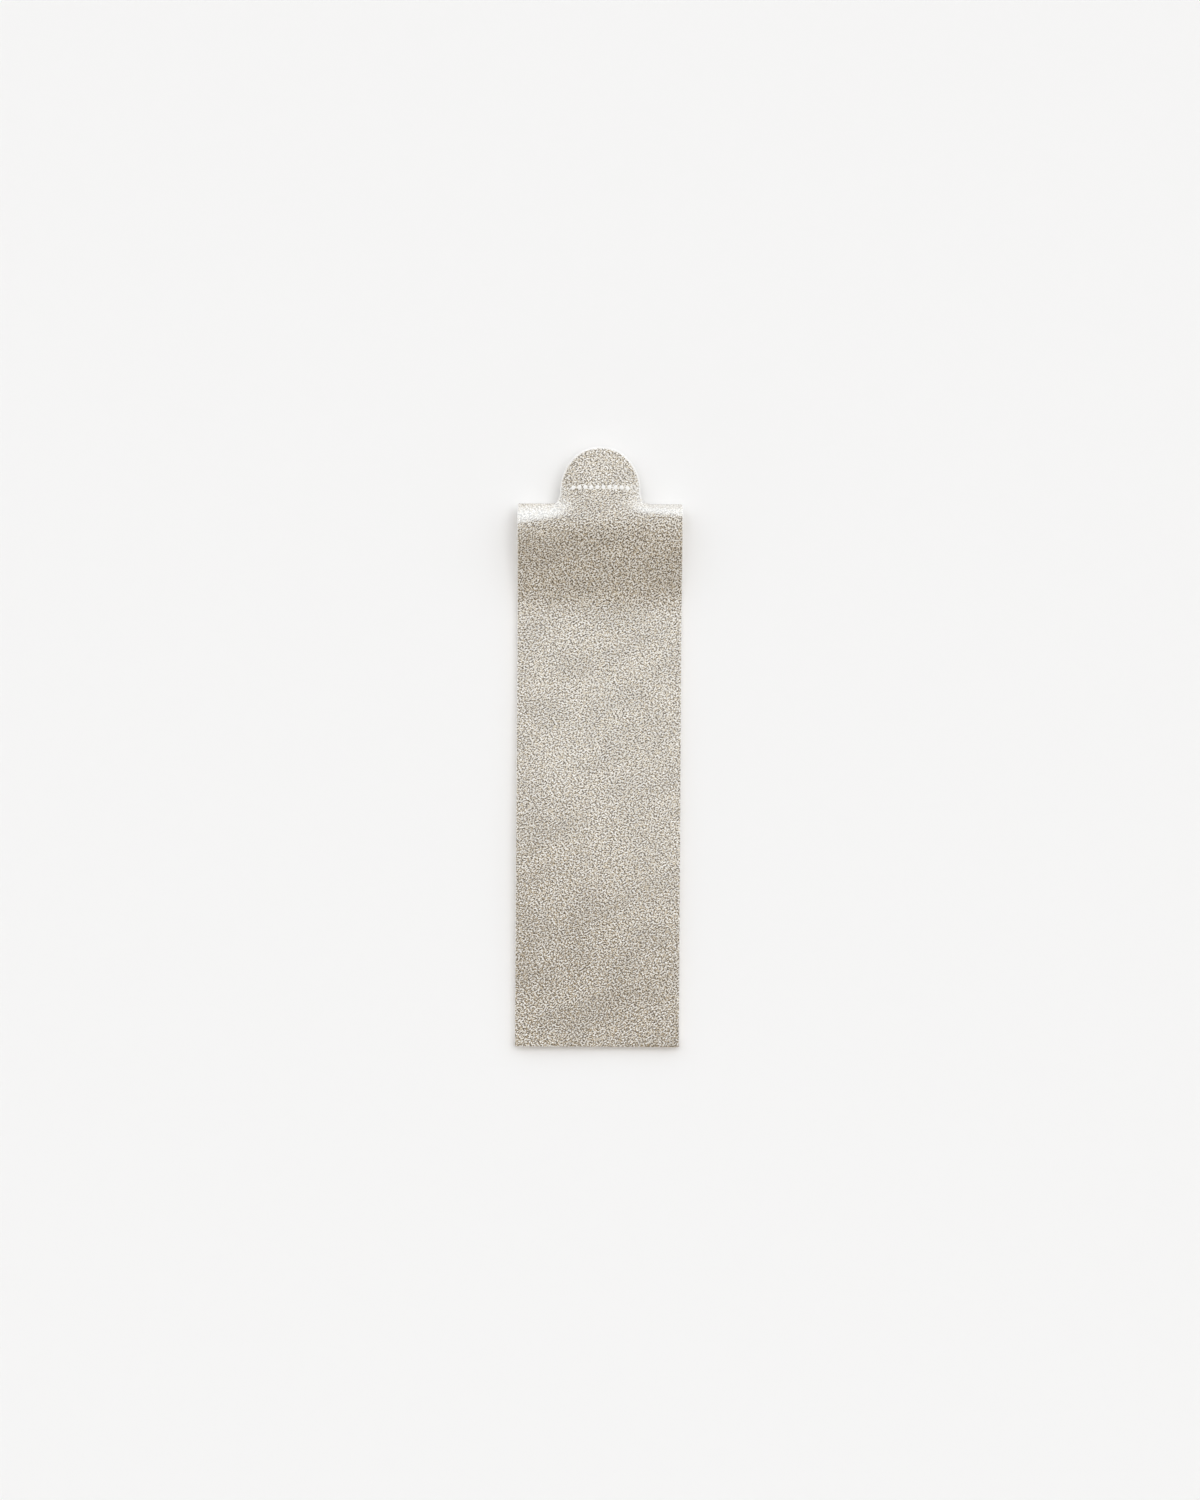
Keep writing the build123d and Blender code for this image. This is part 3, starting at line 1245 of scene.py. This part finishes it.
@dataclass
class BackLeaf:
    """The leaf on the table, with the window that the tab left."""

    workshop: Workshop
    roll: FoldRoll
    row_step: float = 1.5
    fine_step: float = 0.5  # between rows near the window
    fine_start: float = 0.93  # share of the leaf's length where they start
    arc_steps: int = 44

    def build(self) -> dict[Layer, bpy.types.Object]:
        """Make the leaf's two layers.

        Returns:
            The piece of each layer.
        """
        shape, sizes = self.workshop.shape, self.workshop.shape.sizes
        length, radius, front = sizes.roll_length, sizes.window_radius, self.roll.front
        sides = self.roll.rows_between(length - self.roll.row_step, length)
        count = len(front.side_columns())
        left, right = (list(patch.nodes[-count:, 0]) for patch in sides)
        limit = math.asin(right[0] / radius)
        arc = [radius * math.sin(angle) for angle in np.linspace(-limit, limit, self.arc_steps)]
        columns = np.array(left + arc[1:-1] + right)
        below = np.sqrt(radius**2 - np.minimum(np.abs(columns), right[0]) ** 2)
        top = np.where(np.abs(columns) < right[0], sizes.window_y - below, sizes.fold_y)
        reach = sizes.fold_y - sizes.back_end_y
        places = [step / reach for step in front.rim_steps]
        places += spread(places[-1], self.fine_start, self.row_step / reach)[1:]
        places += spread(places[-1], 1.0, self.fine_step / reach)[1:]
        rows = []
        for share in reversed(places):
            y = sizes.back_end_y + share * (top - sizes.back_end_y)
            rows.append([(float(u), length + sizes.fold_y - float(v)) for u, v in zip(columns, y)])
        patch = Patch.from_rows(rows)
        end = length + reach
        patch.round_corners(sizes.half_width, end, -1, sizes.corner_radius)
        u, s = patch.nodes.T
        window = np.hypot(u, sizes.fold_y + length - s - sizes.window_y) - radius
        edge = np.minimum(np.minimum(sizes.half_width - np.abs(u), end - s), window)
        pieces = self.workshop.layers("back_leaf", patch, shape.back_map, edge.clip(0), ["back_leaf"])
        for piece in pieces.values():
            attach(piece, "back")
        return pieces


@dataclass
class Studio:
    """The floor, the soft light and the camera, in metres."""

    finish: FloorPaper
    floor_level: float = -0.00005
    floor_radius: float = 5.0
    sweep_radius: float = 1.0  # how the paper turns up behind the floor
    sweep_height: float = 1.57
    sweep_steps: int = 10
    sweep_sides: int = 96
    sensor_width: float = 36.0  # in millimetres
    camera_height: float = 0.75
    frame_height: float = 0.3648  # what the picture shows of the object's level
    object_level: float = 0.0022
    look_at: Span = (0.0003, -0.0005)
    roll: float = 0.36  # in degrees
    room: Color = (0.25, 0.205, 0.15)  # light of the room round the soft window
    window: Color = (1.08, 1.125, 1.18)  # light of the window's middle
    window_side: Color = (0.08, 0.85, 0.55)  # where the window is
    window_width: float = 0.38  # how much it reaches to both sides
    window_reach: Span = (0.23, 1.1)  # where its soft rim starts and ends
    lamp_side: Color = (0.12, 0.2, 1.0)  # where the overhead lamp is
    lamp_angle: float = 54.0  # how wide it looks from the floor, in degrees
    lamp_level: float = 0.366  # its share of the light on the floor

    def build(self) -> None:
        """Make the whole set."""
        self.make_floor()
        self.make_sky()
        self.make_lamp()
        self.make_camera()
        bpy.context.scene.view_settings.view_transform = "Standard"

    def make_floor(self) -> None:
        """Lay a round floor just under the bookmark, and sweep it up far behind."""
        rim = []
        for angle in np.linspace(0.0, math.pi / 2, self.sweep_steps + 1):
            out = self.floor_radius + self.sweep_radius * math.sin(angle)
            rim.append((out, self.floor_level + self.sweep_radius * (1 - math.cos(angle))))
        rim.append((rim[-1][0], self.sweep_height))
        sides = self.sweep_sides
        turns = [2 * math.pi * side / sides for side in range(sides)]
        points = [(out * math.cos(turn), out * math.sin(turn), up) for out, up in rim for turn in turns]
        faces = [tuple(range(sides))]
        for low in range(0, len(points) - sides, sides):
            for side in range(sides):
                after = (side + 1) % sides
                faces.append((low + side, low + sides + side, low + sides + after, low + after))
        mesh = bpy.data.meshes.new("floor")
        mesh.from_pydata(points, [], faces)
        mesh.materials.append(self.finish.material())
        add_object("floor", mesh)

    def make_sky(self) -> None:
        """Light the set with one big soft window, high up on the far side of a dim room."""
        world = bpy.data.worlds.new("studio_sky")
        graph = ShaderGraph(world)
        place = graph.add("ShaderNodeTexCoord")["Generated"]
        toward = graph.vector("DOT_PRODUCT", place, self.window_side)["Value"]
        aside = graph.math("ABSOLUTE", graph.add("ShaderNodeSeparateXYZ", {0: place})["X"])
        reach = graph.math("MULTIPLY_ADD", aside, self.window_width, toward)
        light = graph.mix(graph.remap(reach, self.window_reach), self.room, self.window)
        graph.feed(graph.find("BACKGROUND"), {"Color": light, "Strength": 1.0})
        bpy.context.scene.world = world

    def make_lamp(self) -> None:
        """Hang a wide soft lamp overhead, which gives the shadows and isn't mirrored in the film."""
        data = bpy.data.lights.new("overhead_lamp", "SUN")
        data.angle = math.radians(self.lamp_angle)
        data.energy = self.lamp_level * math.pi
        lamp = add_object("overhead_lamp", data)
        lamp.rotation_euler = Vector(self.lamp_side).to_track_quat("Z", "Y").to_euler()
        lamp.visible_glossy = False

    def make_camera(self) -> None:
        """Look straight down, as the photograph does."""
        data = bpy.data.cameras.new("camera")
        data.sensor_width = self.sensor_width
        data.lens = data.sensor_width * (self.camera_height - self.object_level) / self.frame_height
        camera = add_object("camera", data)
        camera.location = (*self.look_at, self.camera_height)
        camera.rotation_euler = (0.0, 0.0, math.radians(self.roll))
        bpy.context.scene.camera = camera


def report(pieces: Iterable[bpy.types.Object]) -> None:
    """Log what was made."""
    for piece in pieces:
        LOG.info("%s: %d faces", piece.name, len(piece.data.polygons))


def main() -> None:
    """Build the two leaves, the fold, the tab and its mark, and then the set."""
    logging.basicConfig(level=logging.INFO, format="%(name)s %(message)s")
    shape = StripShape(StripSizes.from_frame())
    finishes = {Layer.FILM: MetalFilm().material(), Layer.HIDE: SuedeHide().material()}
    workshop = Workshop(shape, StripMesher(shape), finishes)
    front = FrontLeaf(workshop)
    roll = FoldRoll(workshop, front)
    tab = Tab(workshop, front)
    report(BackLeaf(workshop, roll).build().values())
    report(front.build().values())
    for pieces in roll.build().values():
        report(pieces.values())
    report(tab.build().values())
    report([TabMark(tab, PaleFoil()).build()])
    Studio(FloorPaper()).build()


if __name__ == "__main__":
    main()
